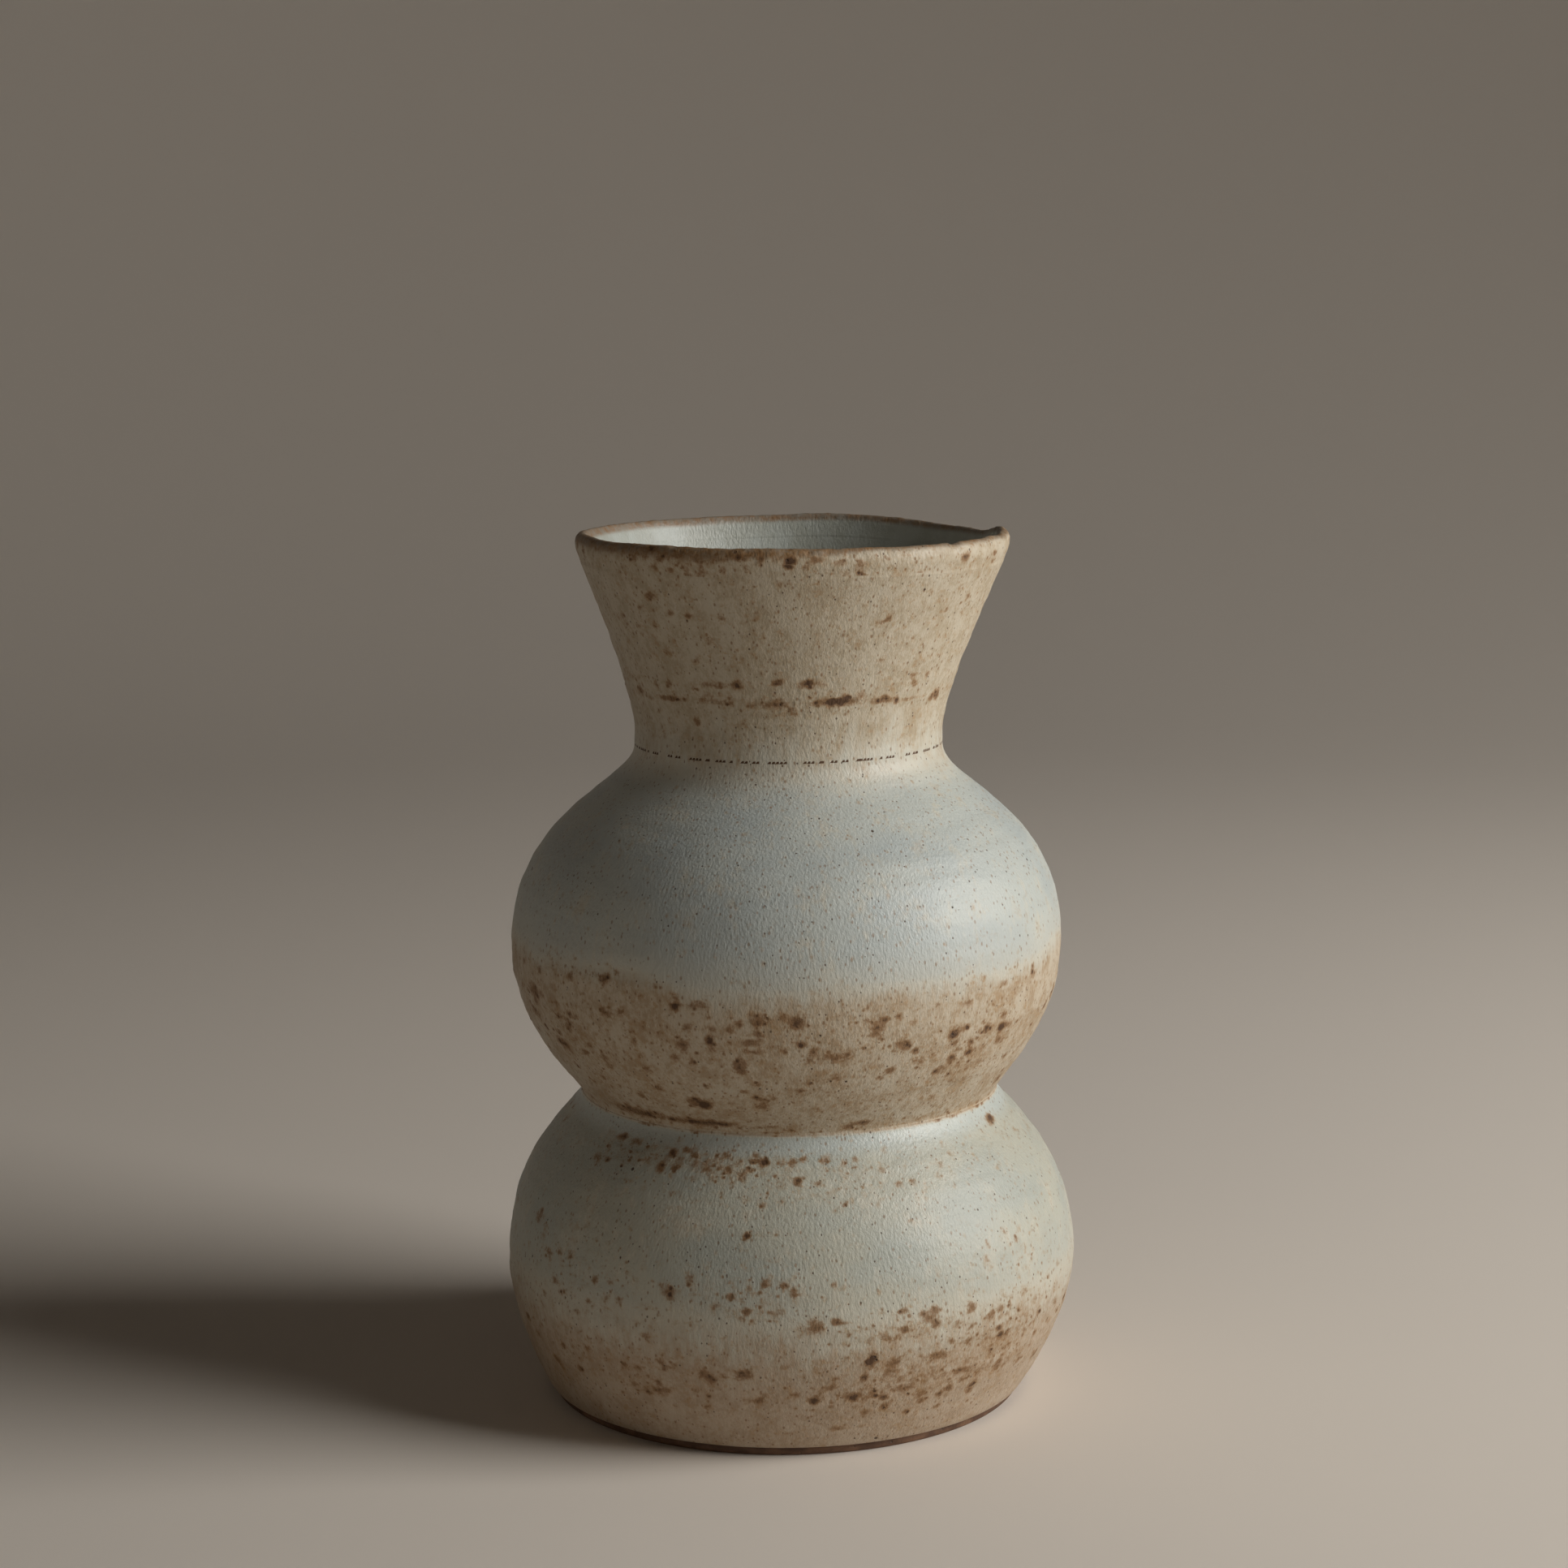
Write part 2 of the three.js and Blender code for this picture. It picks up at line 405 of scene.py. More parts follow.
# A vertex group from an array of weights, in twenty even steps
def weighGroup(piece, name, weights):
    group = piece.vertex_groups.new(name=name)
    steps = np.round(np.clip(weights, 0, 1) * 20).astype(int)
    for step in range(1, 21):
        group.add(np.flatnonzero(steps == step).tolist(), step / 20, "REPLACE")


def addTexture(name, kind, size):
    texture = bpy.data.textures.new(name, kind)
    texture.noise_scale = size
    return texture


def displace(piece, texture, depth, group, guide=None):
    makeActive(piece)
    bpy.ops.object.modifier_add(type="DISPLACE")
    push = piece.modifiers[-1]
    push.texture = texture
    push.strength = depth
    push.mid_level = 0.5
    push.vertex_group = group
    push.texture_coords = "OBJECT" if guide else "LOCAL"
    if guide:
        push.texture_coords_object = guide
    bpy.ops.object.modifier_apply(modifier=push.name)


def makeLeanCage():
    deselectAll()
    bpy.ops.object.add(type="LATTICE", location=(0, 0, topZ / 2))
    cage = bpy.context.object
    cage.scale = (4 * lowerRadius, 4 * lowerRadius, topZ)
    cage.data.points_u = 2
    cage.data.points_v = 2
    cage.data.points_w = clay["leanRows"]
    for point in cage.data.points:
        height = (point.co.z + 0.5) * topZ
        point.co_deform.x += leanAt(height / mm) * mm / cage.scale.x
    return cage


def leanOver(piece, cage):
    makeActive(piece)
    bpy.ops.object.modifier_add(type="LATTICE")
    bend = piece.modifiers[-1]
    bend.object = cage
    bpy.ops.object.modifier_apply(modifier=bend.name)


def removeObject(obj):
    bpy.data.objects.remove(obj)


# Pushes the clay within reach of a point by a small step, on every piece alike
def pushClay(targets, place, step, reach):
    empties = []
    for spot in (place, place + step):
        deselectAll()
        bpy.ops.object.empty_add(location=spot)
        empties.append(bpy.context.object)
    for piece in targets:
        makeActive(piece)
        bpy.ops.object.modifier_add(type="WARP")
        warp = piece.modifiers[-1]
        warp.object_from, warp.object_to = empties
        warp.falloff_radius = reach
        bpy.ops.object.modifier_apply(modifier=warp.name)
    for empty in empties:
        removeObject(empty)


# The rim's own unevenness: (azimuth, step outwards, step up, reach), in degrees and millimetres
rimPushes = (
    (126, 0, -1.5, 30),
    (110, 0, -0.9, 13),
    (94, 0.2, 0.25, 6),
    (84, 0.1, 0.2, 5),
    (76, 0, -0.3, 4),
    (66, 0.1, 0.25, 4),
    (47, -0.5, -0.6, 3),
    (20, 0, 0.25, 9),
    (-20, 0, -0.3, 14),
    (-75, 0, 0.3, 16),
    (170, 0, 0.35, 18),
    (-150, 0, -0.25, 14),
)

jointHeights = (footZ, waistZ, throatZ, lipZ)


def restNearJoints(heights):
    nearest = np.min([np.abs(heights - joint) for joint in jointHeights], axis=0)
    return smoothStep(nearest, *clay["jointRest"])


lumps = addTexture("lumps", "CLOUDS", clay["lumpSize"])
rings = addTexture("throwingRings", "CLOUDS", clay["ringSize"])
deselectAll()
bpy.ops.object.empty_add(location=(0, 0, 0))
ringGuide = bpy.context.object
ringGuide.scale = (1, 1, clay["ringSquash"])
bpy.context.view_layer.update()
for piece in pieces.values():
    weighGroup(piece, "skin", restNearJoints(pointsOf(piece)[:, 2]))
    displace(piece, lumps, clay["lumpDepth"], "skin")
    displace(piece, rings, clay["ringDepth"], "skin", ringGuide)
removeObject(ringGuide)
print("lumps and throwing rings done")


# Marks: (azimuth, height, half width, half height, strength), in degrees and millimetres
ironMarks = {
    "lower_bulb": (
        (-48, 73.8, 2, 0.7, 0.8), (-42, 73.4, 1.6, 0.7, 0.7), (-30.5, 73.4, 1.2, 0.6, 0.9),
        (-26.5, 73.8, 1.1, 0.6, 0.95), (-24, 72.9, 1, 0.6, 0.8), (-8.6, 73.9, 0.8, 0.5, 0.9),
        (-8.8, 72.6, 1, 0.6, 0.95), (-6, 72.4, 1, 0.6, 0.9), (0.6, 72.4, 0.9, 0.7, 1),
        (3.4, 73.2, 0.9, 0.6, 0.8), (8.6, 72.8, 1, 0.7, 0.9), (-2.4, 72.3, 0.6, 0.5, 0.8),
        (13, 72, 0.9, 0.6, 0.8), (16, 72.6, 0.7, 0.5, 0.8), (-20, 70.7, 1.1, 0.5, 0.95),
        (-17, 70.9, 0.9, 0.5, 0.9), (-14.6, 70.6, 1, 0.6, 1), (-10, 70.9, 1.4, 0.5, 0.75),
        (-32, 69.8, 1.2, 1.2, 0.9), (1.6, 68.4, 0.8, 1.2, 0.7), (-13.4, 68.2, 0.7, 0.8, 0.7), (-42, 70, 2, 1, 0.6), (-52, 68.6, 1.6, 1, 0.7),
        (15, 71, 1.6, 0.5, 0.6), (65, 74, 1.8, 1, 1), (-15.5, 65.5, 0.6, 0.6, 0.7),
        (-5, 57.8, 2.4, 0.5, 0.6), (-9, 57.4, 0.7, 0.7, 0.95), (-9.6, 54.4, 0.6, 0.6, 0.6), (-63, 52, 1.6, 1.1, 0.8), (-57, 45.3, 1.7, 1, 0.8),
        (-20, 47, 0.7, 1.2, 0.9), (-24, 43.2, 1.2, 1.3, 1), (-5, 46.7, 0.9, 0.9, 0.95), (-1.4, 46.5, 0.9, 0.8, 0.95), (-8.4, 45.6, 0.7, 0.8, 0.7),
        (0.4, 44.6, 0.8, 1.1, 0.9), (8, 46.6, 0.6, 0.7, 0.8), (-3, 40, 1, 1.4, 0.8),
        (4.3, 36.4, 1.2, 1.6, 1), (9.5, 37, 1.2, 0.7, 0.8), (27, 36.4, 1.4, 1.4, 0.9),
        (22, 36, 1.6, 1.4, 0.5), (36.5, 36.6, 1, 1.2, 0.9), (47, 34.6, 0.9, 1.2, 0.7),
        (51.5, 36.4, 0.8, 1, 0.8), (-38.5, 39, 0.9, 0.7, 0.9), (-35, 39.3, 0.9, 0.7, 0.9),
        (-29, 31.5, 0.8, 1, 0.8), (15.5, 27, 1, 2.4, 1), (20, 25.6, 1.6, 1.2, 0.9),
        (19, 31.8, 0.9, 1, 0.8), (30, 25.8, 2.2, 0.8, 1), (-9, 23.8, 1.2, 1.1, 1.1),
        (-17, 23.2, 1, 1.2, 1), (-25, 24, 0.8, 0.9, 0.8), (-44, 24.6, 1, 1, 0.8),
        (-52, 22.4, 0.9, 0.8, 0.8), (-63, 21.8, 1.2, 1, 0.9), (36.5, 19.8, 3.4, 0.8, 0.9),
        (7, 20, 2, 0.6, 0.9), (5, 17.2, 1.3, 1, 0.9), (12.5, 17.4, 2, 1, 1),
        (16.6, 17.6, 0.9, 1.4, 1), (24, 18, 2.4, 0.8, 0.9), (42, 18.4, 2, 1, 0.8),
        (-26.5, 17.2, 1.4, 1.2, 0.9), (-33, 17.6, 1.1, 1, 0.8), (-57, 17.2, 1.4, 1, 0.9),
        (-7, 16.6, 1.8, 1, 0.8), (-4.5, 18.4, 1, 0.6, 0.8), (11, 8.2, 1.5, 0.6, 0.9),
        (16.3, 8.2, 1.1, 0.5, 0.8), (-0.5, 7.2, 1.4, 0.5, 0.7), (33, 21.6, 12, 0.5, 0.5),
        (34, 24.2, 10, 0.4, 0.45),
    ),
    "upper_bulb": (
        (2, 110, 1.4, 1.5, 1.1), (-5.5, 110.2, 1.2, 1.3, 1), (-1, 110, 0.5, 0.6, 0.8),
        (-64, 109.4, 1.8, 1.6, 1), (-38.5, 108.8, 1.6, 0.9, 0.8), (-17.5, 113.6, 2, 0.9, 0.9),
        (-22, 113.2, 1.2, 0.7, 0.9), (18, 107, 1.3, 2.2, 1), (23.6, 102.4, 1.6, 1.2, 1),
        (-21.5, 103.2, 1.4, 1.4, 1), (-15.5, 104.4, 0.9, 1.9, 0.9), (-6.8, 104.6, 1.8, 0.7, 1),
        (-6.5, 102.4, 1.9, 0.6, 0.9), (-10, 98.4, 1.2, 1.6, 1), (-51.5, 104, 1.2, 1.4, 0.9),
        (-57, 97, 1.4, 0.9, 1), (-49.5, 96.6, 1.4, 0.9, 0.9), (9.5, 100.6, 1.7, 1.1, 0.9),
        (12.6, 101, 0.8, 1.1, 0.9), (22, 96, 1, 0.7, 1), (20.2, 94.2, 0.8, 0.7, 0.8),
        (2.6, 91.6, 0.8, 0.6, 1), (-7, 93.4, 0.7, 0.9, 0.8), (-21.5, 87.1, 2.6, 1, 1.1),
        (-6, 87.2, 1.2, 1, 1), (-6, 89, 1.8, 0.4, 0.7), (-32, 95.4, 1.6, 1, 0.8),
        (36.5, 104, 2, 1.4, 0.8), (51, 102.6, 1.8, 1, 1), (38.5, 110.6, 1.2, 0.8, 0.8),
        (49.5, 110, 1.6, 0.9, 0.7), (36.5, 85.6, 1.3, 0.9, 0.7), (35, 94, 2, 1.2, 0.8),
        (40, 90, 1.2, 0.7, 0.8), (-28, 89.4, 1.6, 0.9, 0.6), (-43, 94, 1.8, 1.2, 0.7),
        (-33, 86, 2.2, 1.6, 0.5), (-22, 80.8, 8, 0.8, 1.05), (-5, 80.4, 7, 0.6, 0.7),
        (19, 80.8, 1.8, 0.6, 1.1), (-42, 81, 8, 0.9, 1), (-46, 118.8, 16, 0.5, 0.5),
        (32, 80.6, 8, 0.5, 0.55), (52, 80.8, 7, 0.5, 0.5), (110, 80.8, 22, 0.6, 0.7),
        (-100, 80.8, 20, 0.7, 0.75), (-150, 80.8, 16, 0.6, 0.6), (158, 80.8, 14, 0.6, 0.7),
        (55, 113, 4, 1.6, 0.5),
    ),
    "flared_neck": (
        (-45, 181.7, 5.5, 0.5, 1), (-26, 181.7, 6.5, 0.6, 0.8), (-13, 181.6, 2, 1, 0.8),
        (-5, 181.6, 4, 0.8, 1), (0.5, 180.2, 1.4, 0.8, 0.9), (16, 181.9, 6.5, 0.9, 1),
        (33.5, 181.8, 4, 0.8, 1), (46.5, 181.2, 6, 0.5, 0.7), (70, 181.6, 9, 0.6, 0.6),
        (-24, 186.2, 6.5, 0.5, 0.8), (-17.5, 186, 1.6, 0.8, 1), (-4.5, 186.6, 2, 0.6, 0.7),
        (6.5, 186.4, 4.5, 0.9, 0.8), (45, 185.4, 6, 0.5, 0.5), (-66, 186, 8, 0.8, 0.7),
        (-62, 182, 4, 1, 0.7), (-34.5, 176.4, 1.2, 1.1, 0.9), (-52, 172.6, 1.2, 2, 0.6),
        (-33, 203, 15, 0.45, 0.62), (-50, 208.4, 11, 0.4, 0.52), (8, 202.6, 6, 0.4, 0.42),
        (44, 210, 9, 0.4, 0.4), (48, 187.2, 8, 0.4, 0.5), (150, 203, 22, 0.45, 0.55),
        (-130, 206, 20, 0.45, 0.5), (110, 187, 16, 0.45, 0.5), (28.3, 202.6, 1, 0.6, 1),
        (-58, 199.4, 1.4, 0.9, 0.8),
    ),
    "lip_coil": (
        (-24, 217.4, 1.5, 0.7, 0.9), (-30, 216.4, 1.2, 1, 0.7), (-18, 215, 1, 1.2, 0.8),
        (-8, 217.5, 1.4, 0.8, 0.9), (-1, 217.3, 1.5, 0.7, 0.95), (-1.6, 216, 1.2, 0.6, 0.9),
        (5.5, 217.4, 1.5, 0.9, 0.9), (-36, 217.2, 1.6, 0.9, 0.8), (-45, 217, 2, 0.8, 0.8),
        (-24, 215.4, 0.8, 1.3, 0.8), (-12, 215.8, 0.7, 1.2, 0.75), (3, 215.4, 0.7, 1, 0.7),
        (12, 216.6, 1.2, 0.8, 0.8), (17, 215.4, 1, 1.5, 0.9), (50, 216, 1.1, 1, 1.1),
        (30, 217.6, 3, 0.5, 0.5), (-50, 217, 5, 0.6, 0.5), (24, 217, 1.4, 0.6, 0.6),
    ),
}

# Round the whole turn, seeded marks carry the same pattern to the sides that no mark above reaches:
# (count, lowest, highest, smallest half size, largest half size, strength)
ironScatter = {
    "lower_bulb": ((30, 68, 75, 0.5, 0.9, 0.8), (60, 14, 30, 0.6, 1.2, 0.9), (26, 31, 60, 0.6, 1, 0.7)),
    "upper_bulb": ((80, 84, 113, 0.7, 1.7, 0.95),),
    "flared_neck": ((26, 180.6, 182.4, 0.6, 1.4, 0.9), (12, 185, 187, 0.5, 1, 0.7)),
    "lip_coil": ((30, 214.6, 218, 0.6, 1.1, 0.8),),
}
markedFront = (-62, 58)
markSpread = 1.65

# Bands where iron breaks through thinly all the way round: (lowest, highest, softness, strength)
ironBands = {
    "lower_bulb": ((12, 40, 5, 0.25), (66, 73.5, 1.5, 0.24), (40, 66, 6, 0.14), (77.4, 80, 0.5, 0.4)),
    "upper_bulb": ((84, 113, 3, 0.31), (76, 81, 0.9, 0.47), (113, 117, 3, 0.24)),
    "waist_slip": ((70, 90, 1, 0.45),),
    "flared_neck": ((180.2, 187, 1.2, 0.3), (181.3, 182, 0.5, 0.42), (187, 215, 5, 0.26)),
    "lip_slip": ((200, 230, 1, 0.28),),
    "lip_coil": ((210, 220, 1, 0.34),),
}

# Wide soft patches where it breaks through more: (azimuth, height, half width, half height, strength)
ironPatches = {
    "lower_bulb": (
        (30, 20, 20, 6, 0.62), (46, 26, 14, 9, 0.58), (22, 34, 14, 4, 0.5), (-10, 43, 12, 5, 0.46),
        (-26, 20, 24, 5, 0.46), (-22, 71.5, 26, 2.4, 0.58), (-4, 69, 30, 4, 0.44), (-46, 43, 14, 8, 0.42),
        (50, 44, 10, 7, 0.36), (110, 24, 26, 8, 0.5),
        (-140, 22, 30, 7, 0.5), (150, 70, 30, 2.4, 0.5), (-100, 44, 16, 7, 0.4),
    ),
    "upper_bulb": (
        (42, 98, 13, 8, 0.6), (-18, 104, 14, 6, 0.5), (10, 104, 18, 7, 0.45), (-52, 100, 12, 8, 0.5),
        (-34, 89, 18, 4, 0.48), (110, 102, 24, 8, 0.5), (-130, 96, 30, 9, 0.5), (165, 106, 20, 6, 0.46),
        (-46, 117, 16, 2.6, 0.5), (52, 115, 10, 2.4, 0.42),
    ),
    "flared_neck": (
        (-28, 183.6, 18, 2.4, 0.5), (-42, 207, 16, 3.4, 0.42), (52, 205, 14, 3, 0.36),
        (130, 184, 30, 2, 0.5), (-130, 183, 26, 2, 0.5), (-30, 176, 24, 6, 0.3),
    ),
    "lip_coil": ((-26, 218, 32, 1.6, 0.66), (130, 216, 30, 2, 0.5), (-110, 216, 26, 2, 0.5)),
}

# The tan zone on the upper bulb ends at a wavy dip line: (azimuth, height)
dipLine = (
    (-180, 114), (-130, 112), (-90, 119), (-71, 118.6), (-62, 116.4), (-48, 117.6), (-32, 118),
    (-20, 114.6), (0, 114.2), (14, 115.6), (30, 115), (46, 114.2), (60, 115), (72, 118), (95, 117),
    (125, 112.6), (180, 114),
)

crownLine = ((-180, 217.8), (-70, 217.2), (-20, 217), (4, 217.4), (22, 218.3), (60, 218.6), (180, 217.8))


def azimuthsOf(points):
    return np.degrees(np.arctan2(points[:, 0], -points[:, 1]))


def addMark(field, azimuths, heights, mark):
    azimuth, height, wide, tall, strength = mark
    apart = (azimuths - azimuth + 180) % 360 - 180
    across = apart / (wide * markSpread)
    upwards = (heights - height) / (tall * markSpread)
    away = across * across + upwards * upwards
    return np.maximum(field, strength * (0.7 * np.exp(-away) + 0.3 * np.exp(-away / 5)))


def ironField(node, azimuths, heights):
    field = np.zeros(len(heights))
    for low, high, soft, strength in ironBands.get(node, ()):
        band = smoothStep(heights, low - soft, low + soft) * (1 - smoothStep(heights, high - soft, high + soft))
        field = np.maximum(field, strength * band)
    for patch in ironPatches.get(node, ()):
        field = addMark(field, azimuths, heights, patch)
    for mark in ironMarks.get(node, ()):
        field = addMark(field, azimuths, heights, mark)
    dice = np.random.default_rng(len(node))
    for count, lowest, highest, smallest, largest, strength in ironScatter.get(node, ()):
        for _ in range(count):
            azimuth = dice.uniform(-180, 180)
            height = dice.uniform(lowest, highest)
            size = dice.uniform(smallest, largest)
            stretch = dice.uniform(0.8, 1.9)
            if not markedFront[0] < azimuth < markedFront[1]:
                wide = math.degrees(size * stretch / 60)
                mark = (azimuth, height, wide, size, strength)
                field = addMark(field, azimuths, heights, mark)
    return field


def tanField(azimuths, heights):
    turns, levels = zip(*dipLine)
    dip = np.interp(azimuths, turns, levels)
    upperTan = 0.82 * (1 - smoothStep(heights - dip, -4.6, 4)) + 0.18 * (1 - smoothStep(heights - dip, -2, 18))
    upperTan = upperTan * smoothStep(heights, 77.4, 78.6)
    footTan = 0.8 * (1 - smoothStep(heights, 16, 42)) + 0.16 * (1 - smoothStep(heights, 30, 60))
    neckTan = smoothStep(heights, 154, 184)
    return np.clip(upperTan + footTan + neckTan, 0, 1)


def poolField(heights):
    return smoothStep(heights, 72.5, 75.5) * (1 - smoothStep(heights, 77, 78.2))


def writeField(piece, name, values):
    attribute = piece.data.attributes.new(name, "FLOAT", "POINT")
    attribute.data.foreach_set("value", values.astype(np.float32))


def paintGlaze(piece, node):
    points = pointsOf(piece)
    normals = normalsOf(piece)
    azimuths = azimuthsOf(points)
    heights = points[:, 2] / mm
    radii = np.hypot(points[:, 0], points[:, 1])
    facing = (points[:, 0] * normals[:, 0] + points[:, 1] * normals[:, 1]) / np.maximum(radii, mm)
    outside = smoothStep(facing, -0.35, 0.1)
    throatRest = smoothStep(np.abs(heights - throatZ / mm), 0.3, 4)
    iron = ironField(node, azimuths, heights) * outside * throatRest
    writeField(piece, "iron", iron)
    crownEdge = np.interp(azimuths, *zip(*crownLine))
    writeField(piece, "crown", smoothStep(heights - crownEdge, 0, 1.3))
    writeField(piece, "tan", tanField(azimuths, heights) * outside)
    writeField(piece, "pool", poolField(heights) * outside)
    writeField(piece, "inside", 1 - outside)
    return iron


ironCrust = addTexture("ironCrust", "STUCCI", 1.1 * mm)
ironCrust.turbulence = 6
for node, piece in pieces.items():
    iron = paintGlaze(piece, node)
    if iron.max() > 0:
        weighGroup(piece, "crust", iron * restNearJoints(pointsOf(piece)[:, 2]))
        displace(piece, ironCrust, -0.5 * mm, "crust")
print("glaze painted")

leanCage = makeLeanCage()
for piece in pieces.values():
    leanOver(piece, leanCage)
removeObject(leanCage)
rimPieces = [pieces["lip_coil"], pieces["lip_slip"], pieces["flared_neck"]]
lip = pieces["lip_coil"]
lipPoints = pointsOf(lip)
torn = smoothStep(lipPoints[:, 2] / mm, 217, 219) * np.exp(-(((azimuthsOf(lipPoints) - 96) / 24) ** 2))
weighGroup(lip, "torn", 0.25 * smoothStep(lipPoints[:, 2] / mm, 217.5, 219.5) + 0.75 * torn)
displace(lip, addTexture("tornEdge", "CLOUDS", 2.2 * mm), 1.1 * mm, "torn")
for azimuth, outwards, up, reach in rimPushes:
    place = around(azimuth, lipRadius - 2 * mm, topZ - mm)
    place.x += clay["lean"][-1][1] * mm
    step = around(azimuth, outwards * mm, up * mm)
    pushClay(rimPieces, place, step, reach * mm)
print("leaned, and the rim pushed")


# Wraps one socket of a material, so that its maths reads as plain expressions
class Wire:
    def __init__(self, tree, socket=None):
        self.tree = tree
        self.socket = socket

    def make(self, kind, settings, sockets, output=0):
        made = self.tree.nodes.new("ShaderNode" + kind)
        for name, value in settings.items():
            setattr(made, name, value)
        for name, value in sockets.items():
            if isinstance(value, Wire):
                self.tree.links.new(value.socket, made.inputs[name])
            else:
                made.inputs[name].default_value = value
        return Wire(self.tree, made.outputs[output])

    def maths(self, operation, first, second):
        return self.make("Math", {"operation": operation}, {0: first, 1: second})

    def __add__(self, other):
        return self.maths("ADD", self, other)

    def __radd__(self, other):
        return self.maths("ADD", other, self)

    def __sub__(self, other):
        return self.maths("SUBTRACT", self, other)

    def __rsub__(self, other):
        return self.maths("SUBTRACT", other, self)

    def __mul__(self, other):
        return self.maths("MULTIPLY", self, other)

    def __rmul__(self, other):
        return self.maths("MULTIPLY", other, self)

    def above(self, low, high):
        settings = {"interpolation_type": "SMOOTHSTEP"}
        return self.make("MapRange", settings, {"Value": self, "From Min": low, "From Max": high})

    def below(self, low, high):
        return 1 - self.above(low, high)


def startMaterial(name):
    material = bpy.data.materials.new(name)
    material.use_nodes = True
    tree = material.node_tree
    shader = tree.nodes["Principled BSDF"]
    return material, Wire(tree), shader


def feed(wires, shader, sockets):
    for name, value in sockets.items():
        if isinstance(value, Wire):
            wires.tree.links.new(value.socket, shader.inputs[name])
        else:
            shader.inputs[name].default_value = value


# Object coordinates in millimetres, stretched so that one unit is (wide, tall) millimetres
def patternSpace(wires, wide, tall, shift=0):
    place = wires.make("TexCoord", {}, {}, "Object")
    scale = (1 / (wide * mm), 1 / (wide * mm), 1 / (tall * mm))
    return wires.make("Mapping", {}, {"Vector": place, "Scale": scale, "Location": (shift, shift, shift)})


def noise(wires, wide, tall, detail=2, roughness=0.5, shift=0):
    space = patternSpace(wires, wide, tall, shift)
    sockets = {"Vector": space, "Scale": 1, "Detail": detail, "Roughness": roughness}
    return wires.make("TexNoise", {}, sockets)


def painted(wires, name):
    return wires.make("Attribute", {"attribute_name": name}, {}, "Fac")


def blend(wires, share, first, second):
    sockets = {0: share}
    for index, colour in ((6, first), (7, second)):
        sockets[index] = colour if isinstance(colour, Wire) else (*colour, 1)
    return wires.make("Mix", {"data_type": "RGBA"}, sockets, 2)


# Round specks in some of the cells of a grid of the given size: the share kept and the speck radius
# are both shares of one cell
def specks(wires, cell, kept, radius, softness, shift=0, tall=1.0):
    space = patternSpace(wires, cell, cell * tall, shift)
    sockets = {"Vector": space, "Scale": 1}
    distance = wires.make("TexVoronoi", {}, sockets, "Distance")
    cellColour = wires.make("TexVoronoi", {}, sockets, "Color")
    dice = wires.make("SeparateColor", {}, {"Color": cellColour}, "Red")
    size = wires.make("SeparateColor", {}, {"Color": cellColour}, "Green")
    reach = radius * (0.45 + 0.55 * size)
    return dice.below(kept, kept + 0.02) * (distance - reach).below(-softness, softness)


clayColours = {
    "bare": (0.085, 0.038, 0.018),
    "worn": (0.155, 0.078, 0.04),
    "grog": (0.035, 0.018, 0.01),
}

upperGlaze = {
    "grey": (0.475, 0.505, 0.475),
    "greyCool": (0.42, 0.46, 0.45),
    "greyWarm": (0.55, 0.52, 0.43),
    "tan": (0.50, 0.43, 0.33),
    "tanDeep": (0.36, 0.26, 0.16),
    "ochre": (0.36, 0.225, 0.105),
    "rust": (0.205, 0.102, 0.035),
    "iron": (0.068, 0.03, 0.011),
    "pool": (0.47, 0.515, 0.50),
    "lining": (0.37, 0.38, 0.335),
    "crown": (0.17, 0.10, 0.05),
}
lowerGlaze = {
    **upperGlaze,
    "grey": (0.455, 0.455, 0.385),
    "greyCool": (0.405, 0.425, 0.38),
    "tan": (0.45, 0.36, 0.27),
    "tanDeep": (0.36, 0.265, 0.175),
}
neckGlaze = {
    **upperGlaze,
    "tan": (0.50, 0.44, 0.34),
    "tanDeep": (0.38, 0.305, 0.205),
}

glazeFinish = {
    "roughness": 0.46,
    "ironRoughness": 0.62,
    "grainDepth": 0.17 * mm,
    "specular": 0.5,
}


